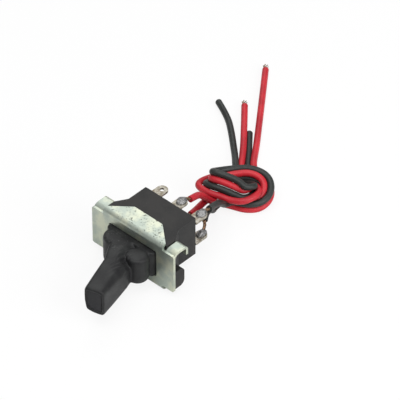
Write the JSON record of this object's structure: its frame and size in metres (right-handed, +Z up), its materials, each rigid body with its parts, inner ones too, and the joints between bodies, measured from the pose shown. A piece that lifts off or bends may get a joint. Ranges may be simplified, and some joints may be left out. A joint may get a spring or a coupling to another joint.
{
  "type": "power tool switch",
  "caption": "Changeover toggle switch on a pressed steel mounting bracket, with a paddle lever in a rubber boot, solder lugs at the back and knotted insulated leads.",
  "frame": {"origin": "middle of the opening in the bracket's front face", "axes": "+X along the opening, +Y from the bracket's front face into the switch towards the solder lugs, +Z up; the lever points to -Y"},
  "size_m": [0.0637, 0.1497, 0.022],
  "materials": {
    "plated_steel": "dull zinc plating",
    "moulding": "moulded, semi-matte",
    "moulding_dark": "moulded, semi-matte",
    "board": "pressed phenolic board",
    "pin_steel": "ground",
    "boot_rubber": "soft, matte",
    "silver": "silver contact",
    "nylon": "natural nylon",
    "spring_steel": "drawn wire",
    "bronze": "pressed",
    "lug_brass": "tinned, dull",
    "red_cover": "extruded, satin",
    "black_cover": "extruded, satin",
    "copper": "stranded, dull",
    "solder": "frozen solder"
  },
  "bodies": {
    "switch_body": {"bracket": "plated_steel", "housing": "moulding", "base": "board", "pivot_pin": "pin_steel", "boot": "boot_rubber", "fixed_contacts": "silver", "terminal_left_upper": "lug_brass", "terminal_middle_upper": "lug_brass", "terminal_right_upper": "lug_brass", "terminal_left_lower": "lug_brass", "terminal_middle_lower": "lug_brass", "terminal_right_lower": "lug_brass", "red_lead_upper": "red_cover", "black_lead_upper": "black_cover", "red_core_upper": "copper", "black_core_upper": "copper", "solder_middle_upper": "solder", "solder_right_upper": "solder", "red_lead_lower": "red_cover", "black_lead_lower": "black_cover", "red_core_lower": "copper", "black_core_lower": "copper", "solder_middle_lower": "solder", "solder_right_lower": "solder"},
    "lever": {"lever": "moulding_dark", "spring_upper": "spring_steel", "spring_lower": "spring_steel"},
    "plunger_upper": {"plunger_upper": "nylon"},
    "rocker_upper": {"rocker_upper": "bronze", "moving_contacts_upper": "silver"},
    "plunger_lower": {"plunger_lower": "nylon"},
    "rocker_lower": {"rocker_lower": "bronze", "moving_contacts_lower": "silver"}
  },
  "joints": [
    {"name": "lever_turn", "type": "hinge", "parent": "switch_body", "child": "lever", "pos_m": [0, 0.0032, 0], "axis": [0, 0, 1], "range_deg": [-32, 0], "deforming": ["boot"]},
    {"name": "rocker_tip_upper", "type": "hinge", "parent": "switch_body", "child": "rocker_upper", "pos_m": [0, 0.0129, 0.0062], "axis": [0, 0, 1], "range_deg": [0, 18]},
    {"name": "plunger_slide_upper", "type": "slide", "parent": "lever", "child": "plunger_upper", "axis": [0.2756, -0.9613, 0], "range_m": [0, 0.0008], "deforming": ["spring_upper"]},
    {"name": "rocker_tip_lower", "type": "hinge", "parent": "switch_body", "child": "rocker_lower", "pos_m": [0, 0.0129, -0.0038], "axis": [0, 0, 1], "range_deg": [0, 18]},
    {"name": "plunger_slide_lower", "type": "slide", "parent": "lever", "child": "plunger_lower", "axis": [0.2756, -0.9613, 0], "range_m": [0, 0.0008], "deforming": ["spring_lower"]}
  ],
  "couplings": [
    {"joint": "rocker_tip_upper", "follows": "lever_turn", "ratio": -0.5625},
    {"joint": "rocker_tip_lower", "follows": "lever_turn", "ratio": -0.5625}
  ]
}
